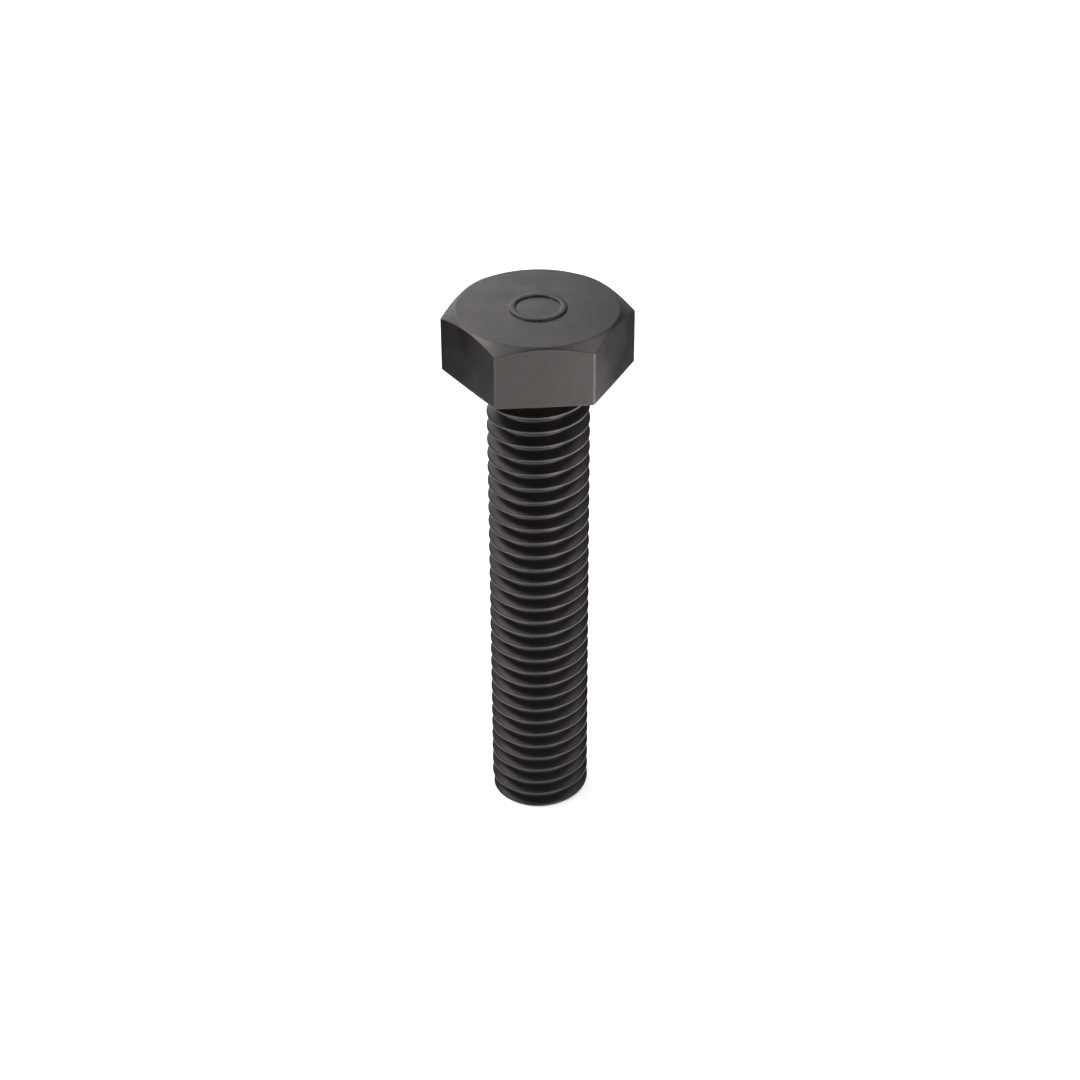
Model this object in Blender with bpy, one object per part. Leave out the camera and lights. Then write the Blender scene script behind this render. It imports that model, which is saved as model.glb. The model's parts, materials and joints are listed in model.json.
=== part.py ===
"""Hex bolt, M8 x 1.25 x 40 mm, threaded to the head.

Metres, +Z up. The origin is the centre of the flat thread end and +Z runs along the
axis towards the head, so the bearing face under the head is at Z = LENGTH. Two of the
six flats face -Y and +Y, and two corners point along -X and +X. The thread is
right-handed.

The bolt is one forged and rolled piece, so it is one object, hex_bolt. Its shape is
the union of a turned core, a swept thread ridge, a hexagonal head and a raised ring on
the head. The helpers that the Booleans use stay in the file, hidden.
"""

import math

import bmesh
import bpy

# Driving dimensions, in metres
LENGTH = 0.040  # bearing face to thread end
PITCH = 0.00125
MAJOR_D = 0.00797  # over the thread crests
ROOT_D = 0.00650  # at the bottom of the thread
THREAD_ANGLE = math.radians(60)
ACROSS_FLATS = 0.01275
HEAD_HEIGHT = 0.00496
CHAMFER_CIRCLE_D = 0.01240  # edge of the flat top of the head
HEAD_CHAMFER = math.radians(30)
NECK_D = 0.00720  # plain neck under the head
NECK_LENGTH = 0.0010
RUNOUT_LENGTH = 0.0007  # cone from the thread's root up to the neck
FILLET = 0.00050  # under the head
TIP_FLAT_D = 0.00770  # flat end of the thread
TIP_CHAMFER = math.radians(45)
RING_D = 0.00440  # raised ring on top of the head
RING_WIDTH = 0.00050
RING_HEIGHT = 0.00012

# The crest of the thread passes this height at this angle about +Z
CREST_Z = 0.03765
CREST_ANGLE = math.radians(-94.4)

THREAD_STEPS = 24  # straight steps in each turn of the thread
HEAD_STEPS = 72  # straight steps round the head's chamfer
OVERLAP = 0.00015  # how far the ridge reaches into the core
FADE_TURNS = 0.75  # length of the thread's run-out, in turns


def clear_scene():
    for obj in list(bpy.data.objects):
        bpy.data.objects.remove(obj, do_unlink=True)


def new_object(name, mesh_builder):
    """A new object in the scene whose mesh is what the builder function returns."""
    bm = mesh_builder()
    bmesh.ops.recalc_face_normals(bm, faces=bm.faces)
    mesh = bpy.data.meshes.new(name)
    bm.to_mesh(mesh)
    bm.free()
    obj = bpy.data.objects.new(name, mesh)
    bpy.context.scene.collection.objects.link(obj)
    return obj


def hide_helper(obj):
    obj.hide_render = True
    obj.display_type = "WIRE"


def turned(profile, steps):
    """A closed solid of revolution about Z from (radius, height) points, which start and end on the axis."""
    bm = bmesh.new()
    rings = []
    for radius, height in profile:
        if radius == 0:
            rings.append([bm.verts.new((0, 0, height))])
            continue
        angles = [math.tau * i / steps for i in range(steps)]
        ring = [bm.verts.new((radius * math.cos(a), radius * math.sin(a), height)) for a in angles]
        rings.append(ring)
    for low, high in zip(rings, rings[1:]):
        for i in range(steps):
            j = (i + 1) % steps
            corners = [low[i % len(low)], low[j % len(low)], high[j % len(high)], high[i % len(high)]]
            bm.faces.new(list(dict.fromkeys(corners)))
    return bm


def core():
    """The turned body under the thread: root cylinder, run-out cone, neck and a fillet that ends in the head."""
    root = ROOT_D / 2
    neck = NECK_D / 2
    neck_low = LENGTH - NECK_LENGTH
    profile = [(0, -4 * PITCH), (root, -4 * PITCH), (root, neck_low - RUNOUT_LENGTH), (neck, neck_low)]
    for k in range(4):
        turn = math.radians(20 * k)
        radius = neck + FILLET * (1 - math.cos(turn))
        height = LENGTH - FILLET + FILLET * math.sin(turn)
        profile.append((radius, height))
    profile.append((neck + FILLET, LENGTH + 0.0001))
    profile.append((neck + FILLET, LENGTH + HEAD_HEIGHT / 2))
    profile.append((0, LENGTH + HEAD_HEIGHT / 2))
    return turned(profile, THREAD_STEPS)


def ridge_section(crest_radius):
    """Corners of the thread ridge's cross-section as (radius, height from the crest line)."""
    slope = math.tan(THREAD_ANGLE / 2)
    inner = ROOT_D / 2 - OVERLAP
    crest = PITCH / 16 + slope * (MAJOR_D / 2 - crest_radius)
    foot = PITCH / 16 + slope * (MAJOR_D / 2 - inner)
    return [(inner, -foot), (crest_radius, -crest), (crest_radius, crest), (inner, foot)]


def thread_ridge():
    """One closed helical ridge. It starts below the thread end and sinks into the neck at the run-out."""
    bm = bmesh.new()
    step = math.tau / THREAD_STEPS
    top = LENGTH - NECK_LENGTH
    first = math.floor((CREST_ANGLE / step)) * step
    first -= math.ceil((CREST_Z + PITCH) / PITCH) * math.tau
    last = first
    while height_of_crest(last) < top:
        last += step
    count = round((last - first) / step)
    sections = []
    for i in range(count + 1):
        angle = first + i * step
        left = (last - angle) / (FADE_TURNS * math.tau)
        fade = min(1.0, left)
        crest_radius = NECK_D / 2 - OVERLAP + fade * (MAJOR_D / 2 - NECK_D / 2 + OVERLAP)
        z = height_of_crest(angle)
        ring = []
        for radius, rise in ridge_section(crest_radius):
            ring.append(bm.verts.new((radius * math.cos(angle), radius * math.sin(angle), z + rise)))
        sections.append(ring)
    for low, high in zip(sections, sections[1:]):
        for a in range(4):
            b = (a + 1) % 4
            bm.faces.new((low[a], low[b], high[b], high[a]))
    bm.faces.new(sections[0])
    bm.faces.new(sections[-1])
    return bm


def height_of_crest(angle):
    return CREST_Z + PITCH * (angle - CREST_ANGLE) / math.tau


def tip_envelope():
    """What the chamfered thread end fits in. It is wider than the thread everywhere above the chamfer."""
    wide = MAJOR_D / 2 + 0.001
    tip = TIP_FLAT_D / 2
    chamfer_top = (wide - tip) * math.tan(TIP_CHAMFER)
    high = LENGTH + HEAD_HEIGHT / 4
    profile = [(0, 0), (tip, 0), (wide, chamfer_top), (wide, high), (0, high)]
    return turned(profile, THREAD_STEPS)


def head_prism():
    """The hexagonal blank of the head, taller than the head, with two flats facing -Y and +Y."""
    bm = bmesh.new()
    radius = ACROSS_FLATS / 2 / math.cos(math.radians(30))
    corners = []
    for i in range(6):
        a = math.radians(60 * i)
        corners.append(bm.verts.new((radius * math.cos(a), radius * math.sin(a), LENGTH)))
    base = bm.faces.new(corners)
    grown = bmesh.ops.extrude_face_region(bm, geom=[base])
    lifted = [v for v in grown["geom"] if isinstance(v, bmesh.types.BMVert)]
    bmesh.ops.translate(bm, verts=lifted, vec=(0, 0, 1.5 * HEAD_HEIGHT))
    return bm


def head_envelope():
    """The turned shape that gives the head its flat top and its chamfered corners."""
    rim = CHAMFER_CIRCLE_D / 2
    wide = ACROSS_FLATS
    top = LENGTH + HEAD_HEIGHT
    low = top - (wide - rim) * math.tan(HEAD_CHAMFER)
    profile = [(0, LENGTH - 0.002), (wide, LENGTH - 0.002), (wide, low), (rim, top), (0, top)]
    return turned(profile, HEAD_STEPS)


def raised_ring():
    """A plain raised ring on top of the head, rooted inside it."""
    bm = bmesh.new()
    low = LENGTH + HEAD_HEIGHT * 0.75
    high = LENGTH + HEAD_HEIGHT + RING_HEIGHT
    outer = RING_D / 2
    inner = outer - RING_WIDTH
    corners = [(inner, low), (outer, low), (outer, high - 0.00006), (outer - 0.00006, high)]
    corners += [(inner + 0.00006, high), (inner, high - 0.00006)]
    loop = [bm.verts.new((radius, 0, height)) for radius, height in corners]
    outline = [bm.edges.new(pair) for pair in zip(loop, loop[1:] + loop[:1])]
    bmesh.ops.spin(bm, geom=loop + outline, axis=(0, 0, 1), cent=(0, 0, 0), angle=math.tau, steps=48)
    bmesh.ops.remove_doubles(bm, verts=bm.verts, dist=1e-7)
    return bm


def add_boolean(obj, other, operation, solver="EXACT"):
    hide_helper(other)
    modifier = obj.modifiers.new(operation.title() + " " + other.name, "BOOLEAN")
    modifier.operation = operation
    modifier.solver = solver
    modifier.object = other


def steel():
    """Dark oxide-blackened steel."""
    material = bpy.data.materials.new("black_oxide_steel")
    material.use_nodes = True
    shader = material.node_tree.nodes["Principled BSDF"]
    shader.inputs["Base Color"].default_value = (0.13, 0.12, 0.115, 1.0)
    shader.inputs["Metallic"].default_value = 0.85
    shader.inputs["Roughness"].default_value = 0.38
    return material


def shade(obj):
    obj.data.shade_smooth()
    obj.data.set_sharp_from_angle(angle=math.radians(28))


def build():
    clear_scene()
    bolt = new_object("hex_bolt", core)
    # EXACT leaves open edges along the many thin thread faces, so these three use MANIFOLD
    add_boolean(bolt, new_object("thread_ridge", thread_ridge), "UNION", "MANIFOLD")
    add_boolean(bolt, new_object("tip_envelope", tip_envelope), "INTERSECT", "MANIFOLD")
    head = new_object("head_blank", head_prism)
    add_boolean(head, new_object("head_envelope", head_envelope), "INTERSECT")
    add_boolean(head, new_object("raised_ring", raised_ring), "UNION")
    add_boolean(bolt, head, "UNION", "MANIFOLD")
    bolt.data.materials.append(steel())
    shade(bolt)


build()
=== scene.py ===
"""Looks of the hex bolt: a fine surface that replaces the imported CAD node, its oxide-blackened steel, a white floor
and the studio light. Lengths are in metres."""

import json
import math

import bpy
import numpy as np
from mathutils import Matrix, Vector


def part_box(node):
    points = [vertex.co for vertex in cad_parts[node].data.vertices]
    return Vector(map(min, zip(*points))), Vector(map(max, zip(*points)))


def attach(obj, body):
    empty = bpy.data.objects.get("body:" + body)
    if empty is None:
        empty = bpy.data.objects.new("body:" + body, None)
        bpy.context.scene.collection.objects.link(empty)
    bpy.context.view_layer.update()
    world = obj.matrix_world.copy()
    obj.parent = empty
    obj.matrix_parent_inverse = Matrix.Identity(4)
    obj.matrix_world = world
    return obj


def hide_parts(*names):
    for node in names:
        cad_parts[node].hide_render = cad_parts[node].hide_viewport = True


MM = 0.001

# Thread, as in the CAD part: M8 x 1.25, right-hand. One of its crests is at CREST_Z at CREST_ANGLE.
PITCH = 1.25 * MM
FLANK_SLOPE = math.tan(math.radians(60))
CREST_Z = 37.65 * MM
CREST_ANGLE = math.radians(-94.4)
CREST_LIFT = 0.012 * MM
CREST_SOFTNESS = 0.05 * MM
ROOT_SOFTNESS = 0.16 * MM
TIP_FLAT_R = 3.93 * MM
TIP_SOFTNESS = 0.05 * MM

# Plain neck between the thread and the head
NECK_R = 3.60 * MM
FILLET = 0.5 * MM
FILLET_STEPS = 7
FADE_LENGTH = 0.95 * MM
FADE_GAP = 0.05 * MM

# Head
HEAD_CHAMFER = math.radians(30)
RIM_R = 6.2 * MM
FLAT_CROWN = 0.035 * MM
CORNER_ROUND = 0.16 * MM
LOW_EDGE_ROUND = 0.09 * MM
ARC_EDGE_ROUND = 0.06 * MM
RIM_ROUND = 0.2 * MM

# Plain raised ring on the head, and how far its foot spreads
RING_R = 2.2 * MM
RING_WIDTH = 0.5 * MM
RING_ROUND = 0.05 * MM
FOOT_HEIGHT = 0.012 * MM
FOOT_STEPS = [0.06 * MM, 0.04 * MM]
FOOT_EDGE = 0.01 * MM

# Camera, about the middle of the bolt
CAMERA_AZIMUTH = math.radians(-4.40)
CAMERA_ELEVATION = math.radians(33.62)
CAMERA_DISTANCE = 0.19065
CAMERA_ROLL = math.radians(-0.2445)
CAMERA_LENS = 80.07
TARGET_SIDE = 0.084 * MM
TARGET_Z = 24.12 * MM

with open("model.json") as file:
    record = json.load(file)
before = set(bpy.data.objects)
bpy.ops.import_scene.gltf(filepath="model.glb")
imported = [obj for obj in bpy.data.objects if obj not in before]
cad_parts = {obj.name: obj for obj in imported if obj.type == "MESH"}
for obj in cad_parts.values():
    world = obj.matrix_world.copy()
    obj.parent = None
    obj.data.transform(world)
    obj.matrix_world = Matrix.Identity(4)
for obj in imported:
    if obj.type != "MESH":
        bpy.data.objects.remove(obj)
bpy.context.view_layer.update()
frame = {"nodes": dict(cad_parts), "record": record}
MOUNTS = {m["name"]: m for m in frame["record"]["mounts"]}
LOW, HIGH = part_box("hex_bolt")
SEAT_Z = MOUNTS["head_bearing_face"]["pos_m"][2]
TOP_Z = MOUNTS["head_top"]["pos_m"][2]
RING_HEIGHT = HIGH.z - TOP_Z
ACROSS_FLATS = HIGH.y - LOW.y


def cad_radii():
    """(crest, root) radius of the thread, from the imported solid's own corners."""
    co = np.array([v.co for v in frame["nodes"]["hex_bolt"].data.vertices])
    full_thread = (co[:, 2] > 5 * MM) & (co[:, 2] < 30 * MM)
    shank = co[full_thread]
    radius = np.hypot(shank[:, 0], shank[:, 1])
    return float(radius.max()), float(radius.min())


CREST_R, ROOT_R = cad_radii()


# ---------------------------------------------------------------- camera


def make_camera():
    """A long lens that looks down at the bolt's middle, turned slightly about its own axis."""
    a, e = CAMERA_AZIMUTH, CAMERA_ELEVATION
    back = Vector((math.sin(a) * math.cos(e), -math.cos(a) * math.cos(e), math.sin(e)))
    right = Vector((math.cos(a), math.sin(a), 0))
    up = back.cross(right)
    target = right * TARGET_SIDE + Vector((0, 0, TARGET_Z))
    r = right * math.cos(CAMERA_ROLL) + up * math.sin(CAMERA_ROLL)
    u = up * math.cos(CAMERA_ROLL) - right * math.sin(CAMERA_ROLL)
    camera = bpy.data.objects.new("camera", bpy.data.cameras.new("camera"))
    camera.data.lens = CAMERA_LENS
    camera.data.sensor_width = 36
    camera.data.clip_start = 0.01
    camera.data.clip_end = 20
    turn = Matrix((r, u, back)).transposed().to_4x4()
    camera.matrix_world = Matrix.Translation(target + back * CAMERA_DISTANCE) @ turn
    bpy.context.scene.collection.objects.link(camera)
    bpy.context.scene.camera = camera


# ---------------------------------------------------------------- mesh


class Shell:
    """Collects the points and faces of one closed mesh."""

    def __init__(self):
        self.points = []
        self.wear_and_highlight = []
        self.faces = []

    def point(self, radius, angle, z, wear_and_highlight=0.0):
        self.points.append((radius * math.cos(angle), radius * math.sin(angle), z))
        self.wear_and_highlight.append(wear_and_highlight)
        return len(self.points) - 1

    def ring(self, angles, radii, heights, wear_and_highlight=0.0):
        rows = [np.broadcast_to(v, (len(angles),)) for v in (radii, heights, wear_and_highlight)]
        return [self.point(float(r), a, float(z), float(w)) for a, r, z, w in zip(angles, *rows)]

    def bridge(self, low, high):
        """Quads between two rings of the same count. Facing out when high is above low, or inside it."""
        count = len(low)
        for i in range(count):
            j = (i + 1) % count
            self.faces.append((low[i], low[j], high[j], high[i]))

    def join_uneven(self, low, low_angles, high, high_angles):
        """Triangles between two rings of different counts, both sorted by angle from the same start."""
        la = list(low_angles) + [low_angles[0] + math.tau]
        ha = list(high_angles) + [high_angles[0] + math.tau]
        i = j = 0
        while i < len(low) or j < len(high):
            step_low = j >= len(high) or (i < len(low) and la[i + 1] <= ha[j + 1])
            a, b = low[i % len(low)], high[j % len(high)]
            if step_low:
                self.faces.append((a, low[(i + 1) % len(low)], b))
                i += 1
            else:
                self.faces.append((a, high[(j + 1) % len(high)], b))
                j += 1

    def close(self, ring, z, top):
        centre = self.point(0.0, 0.0, z)
        for i in range(len(ring)):
            j = (i + 1) % len(ring)
            self.faces.append((ring[i], ring[j], centre) if top else (ring[j], ring[i], centre))


def smooth_min(a, b, k):
    h = np.clip(0.5 + 0.5 * (b - a) / k, 0, 1)
    return b * (1 - h) + a * h - k * h * (1 - h)


def smooth_max(a, b, k):
    return -smooth_min(-a, -b, k)


def ease(x):
    x = np.clip(x, 0, 1)
    return x * x * (3 - 2 * x)


def thread_radius(share):
    """Radius of the thread at a share of a pitch above the crest line, with a softened crest and a round root."""
    away = np.abs((np.asarray(share) + 0.5) % 1.0 - 0.5)
    flank = CREST_R + CREST_LIFT - (away - 1 / 16) * PITCH * FLANK_SLOPE
    radius = smooth_min(flank, CREST_R, CREST_SOFTNESS)
    return smooth_max(radius, ROOT_R, ROOT_SOFTNESS)


def crest_wear_and_highlight(share):
    """Mask of paler rubbed oxide, which is also a painted highlight, on the thread: 1 on the crest and 0 down the
    flanks.
    """
    away = abs((share + 0.5) % 1.0 - 0.5)
    return float(1 - ease((away - 0.05) / 0.06))


def crest_height(angle):
    return CREST_Z + PITCH * (angle - CREST_ANGLE) / math.tau


# Points in a turn, the lines in a pitch as shares of it, and how near a line may pass to the thread's ends
THREAD_COLUMNS = 144
UPPER_FLANK = [0.035, 0.0625, 0.09, 0.15, 0.23, 0.31, 0.38, 0.44]
LOWER_FLANK = [0.56, 0.62, 0.69, 0.77, 0.85, 0.91, 0.9375, 0.965]
LINE_SHARES = [0, *UPPER_FLANK, 0.5, *LOWER_FLANK]
THREAD_TOP = SEAT_Z - 0.7 * MM
END_GAP = 0.012 * MM


def shank_radius(share, z):
    """The thread, faded into the neck under the head and held inside the chamfer at its end."""
    fade = ease((THREAD_TOP - FADE_GAP - z) / FADE_LENGTH)
    radius = NECK_R + fade * (thread_radius(share) - NECK_R)
    return smooth_min(radius, TIP_FLAT_R + z, TIP_SOFTNESS)


def build_shank(shell):
    """The threaded surface from the end up to the neck. Its lines follow the helix, and each column of points
    takes the lines that pass it. Returns the end ring, the neck ring and their angles."""
    step = math.tau / THREAD_COLUMNS
    angles = [i * step for i in range(THREAD_COLUMNS)]
    per_turn = len(LINE_SHARES)
    start = crest_height(0.0)
    turns = int(math.ceil((start + PITCH) / PITCH))
    lines = []
    for turn in range(-turns - 1, 3):
        for i, share in enumerate(LINE_SHARES):
            lines.append((turn * per_turn + i, share, start + (turn + share) * PITCH))
    columns, low, high = [], [], []
    for angle in angles:
        rise = PITCH * angle / math.tau
        share = (-(start + rise) / PITCH) % 1.0
        low.append(shell.point(float(shank_radius(share, 0.0)), angle, 0.0))
        found = {}
        for key, share, base in lines:
            z = base + rise
            if END_GAP < z < THREAD_TOP - END_GAP:
                # The crest mask marks rubbed oxide and also paints a highlight on the crests
                found[key] = shell.point(float(shank_radius(share, z)), angle, z, crest_wear_and_highlight(share))
        columns.append(found)
        high.append(shell.point(NECK_R, angle, THREAD_TOP))
    for i in range(THREAD_COLUMNS):
        j = (i + 1) % THREAD_COLUMNS
        shift = per_turn if j == 0 else 0
        left = columns[i]
        right = {key - shift: v for key, v in columns[j].items()}
        common = sorted(set(left) & set(right))
        first, last = common[0], common[-1]
        for key in common[:-1]:
            shell.faces.append((left[key], right[key], right[key + 1], left[key + 1]))
        below_right = [right[k] for k in sorted(right) if k < first]
        below_left = [left[k] for k in sorted(left, reverse=True) if k < first]
        shell.faces.append((low[i], low[j], *below_right, right[first], left[first], *below_left))
        above_right = [right[k] for k in sorted(right) if k > last]
        above_left = [left[k] for k in sorted(left, reverse=True) if k > last]
        shell.faces.append((left[last], right[last], *above_right, high[j], high[i], *above_left))
    return low, high, angles


def build_end_face(shell, ring, angles):
    """The flat end of the thread. Its outer rings follow the thread's outline and its inner ones are round."""
    outline = [min(math.hypot(*shell.points[v][:2]), TIP_FLAT_R) for v in ring]
    for share in (0.985, 0.93, 0.75, 0.5, 0.25):
        radii = [r * share for r in outline] if share > 0.8 else TIP_FLAT_R * share
        inner = shell.ring(angles, radii, 0.0)
        shell.bridge(inner, ring)
        ring = inner
    shell.close(ring, 0.0, top=False)


def build_neck(shell, ring, angles):
    """The plain neck and the fillet under the head. Returns the ring where the bearing face starts."""
    profile = [(NECK_R, SEAT_Z - FILLET)]
    for k in range(1, FILLET_STEPS + 1):
        turn = math.radians(90 * k / FILLET_STEPS)
        profile.append((NECK_R + FILLET * (1 - math.cos(turn)), SEAT_Z - FILLET + FILLET * math.sin(turn)))
    for radius, z in profile:
        upper = shell.ring(angles, radius, z)
        shell.bridge(ring, upper)
        ring = upper
    return ring


def hexagon(angles):
    """Distance from the axis to the hexagon's side at each angle, with round corners and sides that bulge by
    FLAT_CROWN, as forged ones do. Corners point along -X and +X."""
    half = ACROSS_FLATS / 2
    c = (half - CORNER_ROUND) / math.cos(math.radians(30))
    off = (np.asarray(angles) + math.radians(30)) % math.radians(60) - math.radians(30)
    limit = math.atan2(CORNER_ROUND / 2, c + CORNER_ROUND * math.cos(math.radians(30)))
    rounded = c * np.cos(off) + np.sqrt(np.maximum(CORNER_ROUND**2 - (c * np.sin(off)) ** 2, 0))
    away = math.radians(30) - np.abs(off)
    crown = FLAT_CROWN * (np.tan(away) / math.tan(math.radians(30))) ** 2
    return np.where(np.abs(off) < limit, rounded, half / np.cos(away)) - crown


def corner_wear_and_highlight(angles):
    """Mask of paler rubbed oxide, which is also a painted highlight, on the head's sides: 1 on the hexagon's six
    corners, fading to 0 on its flats.
    """
    off = (np.degrees(angles) + 30) % 60 - 30
    return np.exp(-((off / 0.9) ** 2))


def head_angles():
    """The head's columns, closest together at the six corners."""
    offsets = [0, 0.2, 0.4, 0.6, 0.85, 1.3, 2.1, 3.3, 5, 7, 9.5, 12, 14.5, 17, 19.5, 22, 24.5, 27.25]
    sector = sorted({-o for o in offsets} | set(offsets) | {30})
    degrees = [60 * k + o for k in range(6) for o in sector]
    return [math.radians(d) for d in sorted(d % 360 for d in degrees)]


def head_profile(side, corner):
    """(radius, height, mask) from the bearing face's edge up the side, over the chamfer and onto the flat top. The
    mask marks paler rubbed oxide, which also paints highlights on the edges.
    """
    # Edge of the bearing face
    r = LOW_EDGE_ROUND
    rows = [(side - 3.2 * r, SEAT_Z, 0.0)]
    for k in range(5):
        t = math.radians(22.5 * k)
        rows.append((side - r + r * math.sin(t), SEAT_Z + r * (1 - math.cos(t)), 0.7))
    # Side, up to the arc that the chamfer cuts into it
    edge = TOP_Z - (side - RIM_R) * math.tan(HEAD_CHAMFER)
    e = ARC_EDGE_ROUND
    tangent = e * math.tan(math.radians(30))
    start = edge - tangent
    for share in (0.03, 0.25, 0.5, 0.75, 0.97):
        rows.append((side, SEAT_Z + r + share * (start - SEAT_Z - r), corner))
    for k in range(6):
        t = math.radians(12 * k)
        rows.append((side - e + e * math.cos(t), start + e * math.sin(t), 0.8))
    # Chamfer and rim
    m = RIM_ROUND
    back = m * math.tan(HEAD_CHAMFER / 2)
    arc_end = (side - e / 2, start + e * math.sin(math.radians(60)))
    rim_start = (RIM_R + back * math.cos(HEAD_CHAMFER), TOP_Z - back * math.sin(HEAD_CHAMFER))
    for share in (0.08, 0.5, 0.92):
        slide = [a + share * (b - a) for a, b in zip(arc_end, rim_start)]
        rows.append((*slide, 0.0))
    for k in range(6):
        t = math.radians(60 + 6 * k)
        rows.append((RIM_R - back + m * math.cos(t), TOP_Z - m + m * math.sin(t), 0.15))
    return rows


def ring_profile():
    """The flat top of the head inside its rim, with the plain raised ring, as (radius, height)."""
    r = RING_ROUND
    outer, inner = RING_R, RING_R - RING_WIDTH
    crown = TOP_Z + RING_HEIGHT - r
    turns = [math.radians(30 * k) for k in range(4)]
    rows = [(RIM_R * s, TOP_Z) for s in (0.975, 0.9, 0.78, 0.64, 0.5, 0.4)]
    rows += [(outer + step, TOP_Z) for step in FOOT_STEPS]
    rows.append((outer + FOOT_EDGE, TOP_Z + FOOT_HEIGHT))
    rows += [(outer - r + r * math.cos(t), crown + r * math.sin(t)) for t in turns]
    rows += [(inner + r - r * math.cos(t), crown + r * math.sin(t)) for t in reversed(turns)]
    rows.append((inner - FOOT_EDGE, TOP_Z + FOOT_HEIGHT))
    rows += [(inner - step, TOP_Z) for step in reversed(FOOT_STEPS)]
    rows += [(inner * s, TOP_Z) for s in (0.85, 0.5, 0.2)]
    return rows


def build_head(shell, seat_ring, seat_angles):
    """The bearing face, the sides, the chamfer and the top."""
    angles = head_angles()
    side = hexagon(angles)
    ring = None
    # The third value marks rubbed oxide and also painted highlights on the head's edges and corners
    for radius, z, wear_and_highlight in head_profile(side, corner_wear_and_highlight(angles)):
        upper = shell.ring(angles, radius, z, wear_and_highlight)
        if ring is None:
            middle = shell.ring(seat_angles, NECK_R + FILLET + 0.25 * MM, SEAT_Z)
            shell.bridge(seat_ring, middle)
            shell.join_uneven(middle, seat_angles, upper, angles)
        else:
            shell.bridge(ring, upper)
        ring = upper
    for radius, z in ring_profile():
        upper = shell.ring(angles, radius, z)
        shell.bridge(ring, upper)
        ring = upper
    shell.close(ring, TOP_Z, top=True)


def make_bolt():
    """The whole bolt as one closed mesh, with its mask of rubbed oxide and painted edge and crest highlights as an
    attribute.
    """
    shell = Shell()
    end_ring, neck_ring, angles = build_shank(shell)
    build_end_face(shell, end_ring, angles)
    seat_ring = build_neck(shell, neck_ring, angles)
    build_head(shell, seat_ring, angles)
    mesh = bpy.data.meshes.new("bolt_body")
    mesh.from_pydata(shell.points, [], shell.faces)
    mesh.shade_smooth()
    # Mask of rubbed oxide and painted highlights on the edges and crests
    wear_and_highlight = mesh.attributes.new("wear_and_highlight", "FLOAT", "POINT")
    wear_and_highlight.data.foreach_set("value", shell.wear_and_highlight)
    mesh.set_sharp_from_angle(angle=math.radians(50))
    bolt = bpy.data.objects.new("bolt_body", mesh)
    bpy.context.scene.collection.objects.link(bolt)
    return bolt


# ---------------------------------------------------------------- materials


class Graph:
    """A short way to write a node material."""

    def __init__(self, name):
        self.material = bpy.data.materials.new(name)
        self.material.use_nodes = True
        self.tree = self.material.node_tree
        self.shader = self.tree.nodes["Principled BSDF"]

    def node(self, kind, **settings):
        made = self.tree.nodes.new(kind)
        for key, value in settings.items():
            setattr(made, key, value)
        return made

    def link(self, output, socket):
        self.tree.links.new(output, socket)

    def noise(self, vector, scale, detail, roughness):
        made = self.node("ShaderNodeTexNoise")
        made.inputs["Scale"].default_value = scale
        made.inputs["Detail"].default_value = detail
        made.inputs["Roughness"].default_value = roughness
        self.link(vector, made.inputs["Vector"])
        return made.outputs["Fac"]

    def ramp(self, value, stops):
        made = self.node("ShaderNodeValToRGB")
        ramp = made.color_ramp
        while len(ramp.elements) < len(stops):
            ramp.elements.new(0.5)
        for element, (place, colour) in zip(ramp.elements, stops):
            element.position = place
            element.color = (*colour, 1.0)
        self.link(value, made.inputs["Fac"])
        return made.outputs["Color"]

    def mix(self, factor, a, b, blend="MIX"):
        made = self.node("ShaderNodeMix", data_type="RGBA", blend_type=blend)
        for socket, value in ((made.inputs[0], factor), (made.inputs[6], a), (made.inputs[7], b)):
            if isinstance(value, bpy.types.NodeSocket):
                self.link(value, socket)
            else:
                socket.default_value = value
        return made.outputs[2]

    def math(self, operation, a, b, clamp=False):
        made = self.node("ShaderNodeMath", operation=operation)
        made.use_clamp = clamp
        for socket, value in zip(made.inputs, (a, b)):
            if isinstance(value, bpy.types.NodeSocket):
                self.link(value, socket)
            else:
                socket.default_value = value
        return made.outputs[0]

    def spread(self, value, low, high, to_low, to_high):
        made = self.node("ShaderNodeMapRange")
        self.link(value, made.inputs["Value"])
        for key, number in (("From Min", low), ("From Max", high), ("To Min", to_low), ("To Max", to_high)):
            made.inputs[key].default_value = number
        return made.outputs["Result"]


# Base colours: warm black with faint purple and green-grey blotches, and the paler rubbed oxide, which also paints
# highlights on the edges and crests
BROAD_COLOURS = [
    (0.30, (0.0503, 0.0451, 0.0453)),
    (0.50, (0.0506, 0.0457, 0.0439)),
    (0.70, (0.0461, 0.0443, 0.0425)),
]
PATCH_COLOURS = [
    (0.35, (0.0526, 0.0457, 0.0458)),
    (0.50, (0.0501, 0.0457, 0.0433)),
    (0.65, (0.0456, 0.0439, 0.0438)),
]
# Paler rubbed oxide, which also paints highlights on the edges and crests
RUBBED_AND_HIGHLIGHT_COLOUR = (0.060, 0.055, 0.052, 1.0)
RUBBED_ROUGHNESS = 0.06
THREAD_ROUGHNESS = 0.08


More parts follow.
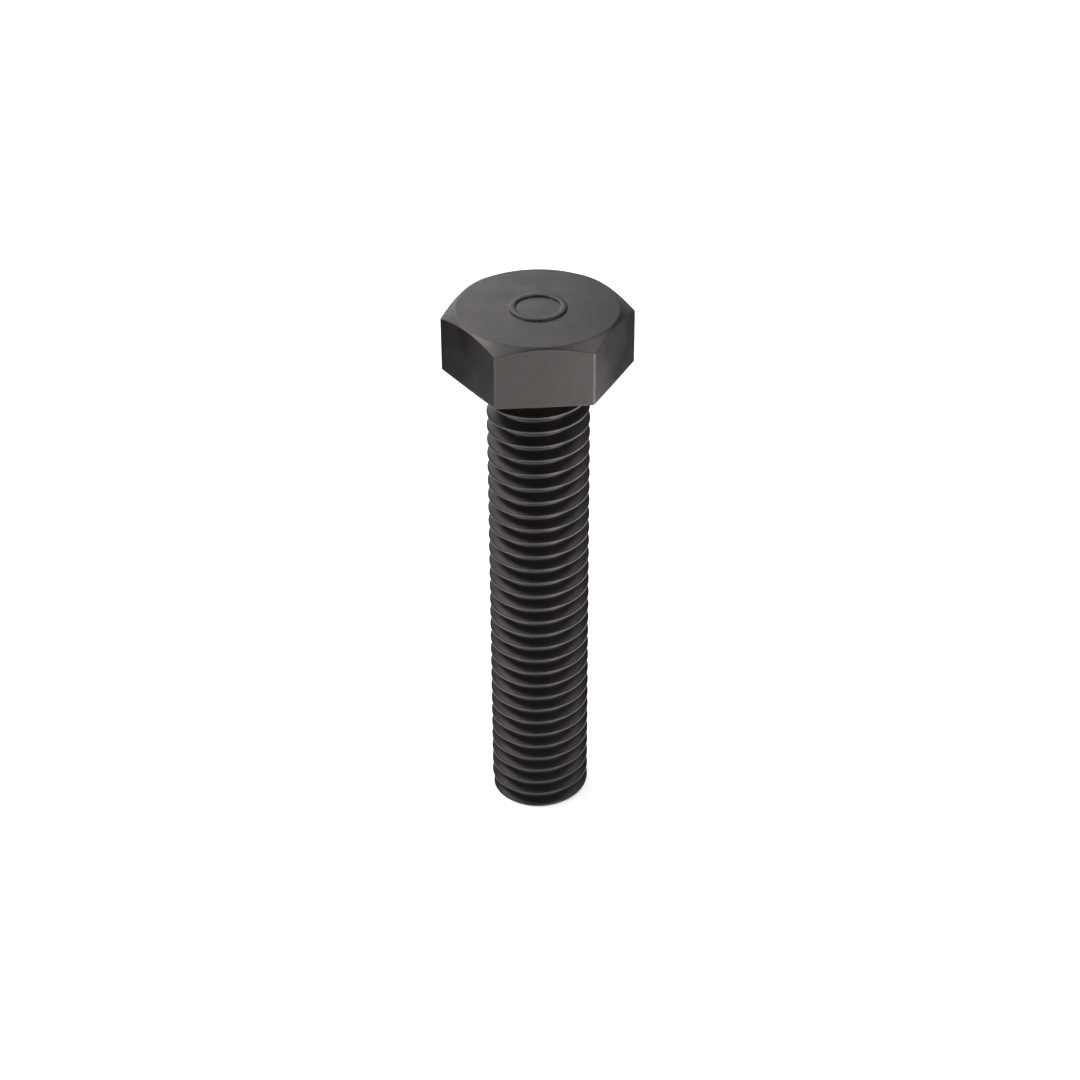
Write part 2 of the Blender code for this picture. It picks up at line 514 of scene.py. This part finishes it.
def oxide_steel():
    """Black-oxide steel: blotchy, finely grained, and paler on its edges and crests, partly as rubbed oxide and
    partly as a painted highlight.
    """
    g = Graph("oxide_steel")
    place = g.node("ShaderNodeTexCoord").outputs["Object"]
    broad = g.noise(place, 150.0, 3.0, 0.55)
    patches = g.noise(place, 420.0, 4.0, 0.6)
    grain = g.noise(place, 7000.0, 3.0, 0.6)
    scuffs = g.noise(place, 1500.0, 4.0, 0.7)

    colour = g.mix(0.5, g.ramp(broad, BROAD_COLOURS), g.ramp(patches, PATCH_COLOURS))
    wear_and_highlight = g.node("ShaderNodeAttribute", attribute_name="wear_and_highlight").outputs["Fac"]
    rubbed_and_highlight = g.math("MULTIPLY", wear_and_highlight, g.spread(scuffs, 0.35, 0.65, 0.35, 1.0), clamp=True)
    # Edges and crests get the paler colour: partly rubbed oxide, partly a painted highlight
    colour = g.mix(rubbed_and_highlight, colour, RUBBED_AND_HIGHLIGHT_COLOUR)
    colour = g.mix(1.0, colour, g.spread(grain, 0.3, 0.7, 0.94, 1.06), "MULTIPLY")
    g.link(colour, g.shader.inputs["Base Color"])

    rough = g.spread(patches, 0.3, 0.7, 0.30, 0.39)
    rough = g.math("ADD", rough, g.spread(grain, 0.3, 0.7, -0.02, 0.02))
    rough = g.math("ADD", rough, g.math("MULTIPLY", rubbed_and_highlight, RUBBED_ROUGHNESS))
    height = g.node("ShaderNodeSeparateXYZ")
    g.link(place, height.inputs[0])
    rough = g.math("ADD", rough, g.spread(height.outputs["Z"], THREAD_TOP, SEAT_Z, THREAD_ROUGHNESS, 0.0))
    g.link(rough, g.shader.inputs["Roughness"])
    g.shader.inputs["Metallic"].default_value = 1.0

    bump = g.node("ShaderNodeBump")
    bump.inputs["Strength"].default_value = 0.06
    bump.inputs["Distance"].default_value = 0.00002
    g.link(grain, bump.inputs["Height"])
    g.link(bump.outputs["Normal"], g.shader.inputs["Normal"])
    return g.material


# The floor's own glow near the bolt and further out, and the radii between which it changes
NEAR_GLOW, FAR_GLOW = 0.46, 1.0
GLOW_REACH = (0.06, 0.35)


def floor_paint():
    """A white table lit from below, softly near the bolt and fully further out."""
    g = Graph("floor_paint")
    reach = g.node("ShaderNodeVectorMath", operation="LENGTH")
    g.link(g.node("ShaderNodeTexCoord").outputs["Object"], reach.inputs[0])
    glow = g.spread(reach.outputs["Value"], *GLOW_REACH, NEAR_GLOW, FAR_GLOW)
    g.link(glow, g.shader.inputs["Emission Strength"])
    g.shader.inputs["Emission Color"].default_value = (1, 1, 1, 1)
    g.shader.inputs["Base Color"].default_value = (0.92, 0.92, 0.92, 1.0)
    g.shader.inputs["Roughness"].default_value = 0.9
    g.shader.inputs["Specular IOR Level"].default_value = 0.0
    return g.material


# ---------------------------------------------------------------- studio


# Half the floor's width, its gap to the end of the thread, and how high the cards on it lie
FLOOR_HALF = 1.6
FLOOR_GAP = 0.02 * MM
CARD_LIFT = 0.2 * MM

# Area lights as (name, azimuth, elevation, watts), in degrees. High ones are large and low ones small.
HIGH_LIGHTS = [
    ("back", 189, 29, 0.062),
    ("back_left", 203, 28, 0.042),
    ("back_high", 193, 46, 0.032),
    ("back_low", 203, 16, 0.016),
    ("rim", 153, 12, 0.012),
    ("key", 240, 50, 0.175),
    ("key_high", 243, 67, 0.075),
    ("top", 160, 86, 0.018),
    ("top_left", 275, 70, 0.013),
    ("top_right", 113, 61, 0.084),
    ("right", 90, 48, 0.040),
]
LOW_LIGHTS = [
    ("low_297", 297, 5, 0.050),
    ("low_325", 325, 5, 0.025),
    ("low_0", 0, 5, 0.018),
    ("low_35", 35, 5, 0.080),
]
HIGH_SIZE = (0.22, 0.12, 0.12)
LOW_SIZE = (0.13, 0.06, 0.05)
WORLD_STRENGTH = 0.20

# Cards that only the steel reflects, as (name, glow, azimuths, inner radius, outer radius). The bounces lie on the
# floor, and the flags stand upright to keep the sides of the head dark.
BOUNCES = [
    ("bounce_front", 9.0, (20, 42), 46 * MM, 90 * MM),
    ("bounce_near", 3.4, (15, 75), 14 * MM, 45 * MM),
    ("bounce_right", 8.6, (72, 106), 50 * MM, 90 * MM),
    ("bounce_left", 3.4, (258, 316), 14 * MM, 48 * MM),
]
FLAGS = [("flag_left", (205, 260)), ("flag_right", (108, 172))]
FLAG_R, FLAG_HEIGHT = 60 * MM, 40 * MM

# White wall round the floor, which only the camera sees
BACKDROP_R, BACKDROP_LOW, BACKDROP_HIGH = 1.5, -0.1, 1.6


def make_floor():
    h = FLOOR_HALF
    mesh = bpy.data.meshes.new("floor")
    mesh.from_pydata([(-h, -h, 0), (h, -h, 0), (h, h, 0), (-h, h, 0)], [], [(0, 1, 2, 3)])
    floor = bpy.data.objects.new("floor", mesh)
    floor.location.z = -FLOOR_GAP
    floor.data.materials.append(floor_paint())
    bpy.context.scene.collection.objects.link(floor)


def direction(azimuth, elevation):
    """The way to an azimuth and elevation in degrees. Azimuth 0 is at the front and 90 at the right."""
    a, e = math.radians(azimuth), math.radians(elevation)
    return Vector((math.sin(a) * math.cos(e), -math.cos(a) * math.cos(e), math.sin(e)))


def softbox(name, azimuth, elevation, power, size):
    """A rectangular soft light aimed at the bolt's middle. Its size is (distance, width, height)."""
    distance, width, height = size
    way = direction(azimuth, elevation)
    light = bpy.data.lights.new(name, "AREA")
    light.shape = "RECTANGLE"
    light.size = width
    light.size_y = height
    light.energy = power
    lamp = bpy.data.objects.new(name, light)
    lamp.location = Vector((0, 0, (LOW.z + HIGH.z) / 2)) + way * distance
    lamp.rotation_euler = way.to_track_quat("Z", "Y").to_euler()
    lamp.visible_camera = False
    bpy.context.scene.collection.objects.link(lamp)


def glow_paint(name, glow):
    """Black paint that only glows."""
    material = bpy.data.materials.new(name)
    material.use_nodes = True
    shader = material.node_tree.nodes["Principled BSDF"]
    shader.inputs["Base Color"].default_value = (0, 0, 0, 1)
    shader.inputs["Specular IOR Level"].default_value = 0.0
    shader.inputs["Emission Color"].default_value = (1, 1, 1, 1)
    shader.inputs["Emission Strength"].default_value = glow
    return material


def arc_card(name, glow, azimuths, near, far, seen_by="steel"):
    """A glowing card bent round the bolt, from the near (radius, height) to the far one. It lights nothing and
    throws no shadow, and it shows to the camera or in the steel only."""
    start, end = azimuths
    count = max(9, (end - start) // 6)
    points = []
    for k in range(count):
        way = direction(start + (end - start) * k / (count - 1), 0)
        points += [way * radius + Vector((0, 0, z)) for radius, z in (near, far)]
    faces = [(2 * k, 2 * k + 2, 2 * k + 3, 2 * k + 1) for k in range(count - 1)]
    mesh = bpy.data.meshes.new(name)
    mesh.from_pydata(points, [], faces)
    mesh.materials.append(glow_paint(name, glow))
    card = bpy.data.objects.new(name, mesh)
    card.visible_camera = seen_by == "camera"
    card.visible_glossy = seen_by == "steel"
    card.visible_diffuse = False
    card.visible_shadow = False
    bpy.context.scene.collection.objects.link(card)


def make_world():
    """A weak even light from all sides."""
    world = bpy.data.worlds.new("studio")
    world.use_nodes = True
    sky = world.node_tree.nodes["Background"]
    sky.inputs["Color"].default_value = (1, 1, 1, 1)
    sky.inputs["Strength"].default_value = WORLD_STRENGTH
    bpy.context.scene.world = world


def make_lights():
    for name, azimuth, elevation, power in HIGH_LIGHTS:
        softbox(name, azimuth, elevation, power, HIGH_SIZE)
    for name, azimuth, elevation, power in LOW_LIGHTS:
        softbox(name, azimuth, elevation, power, LOW_SIZE)
    for name, azimuths in FLAGS:
        arc_card(name, 0.0, azimuths, (FLAG_R, 0), (FLAG_R, FLAG_HEIGHT))
    for name, glow, azimuths, inner, outer in BOUNCES:
        arc_card(name, glow, azimuths, (inner, CARD_LIFT), (outer, CARD_LIFT))
    low, high = (BACKDROP_R, BACKDROP_LOW), (BACKDROP_R, BACKDROP_HIGH)
    arc_card("backdrop", 1.0, (0, 360), low, high, seen_by="camera")
    make_world()


make_camera()
bolt = make_bolt()
bolt.data.materials.append(oxide_steel())
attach(bolt, "root")
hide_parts("hex_bolt")
make_floor()
make_lights()
bpy.context.scene.view_settings.view_transform = "Standard"
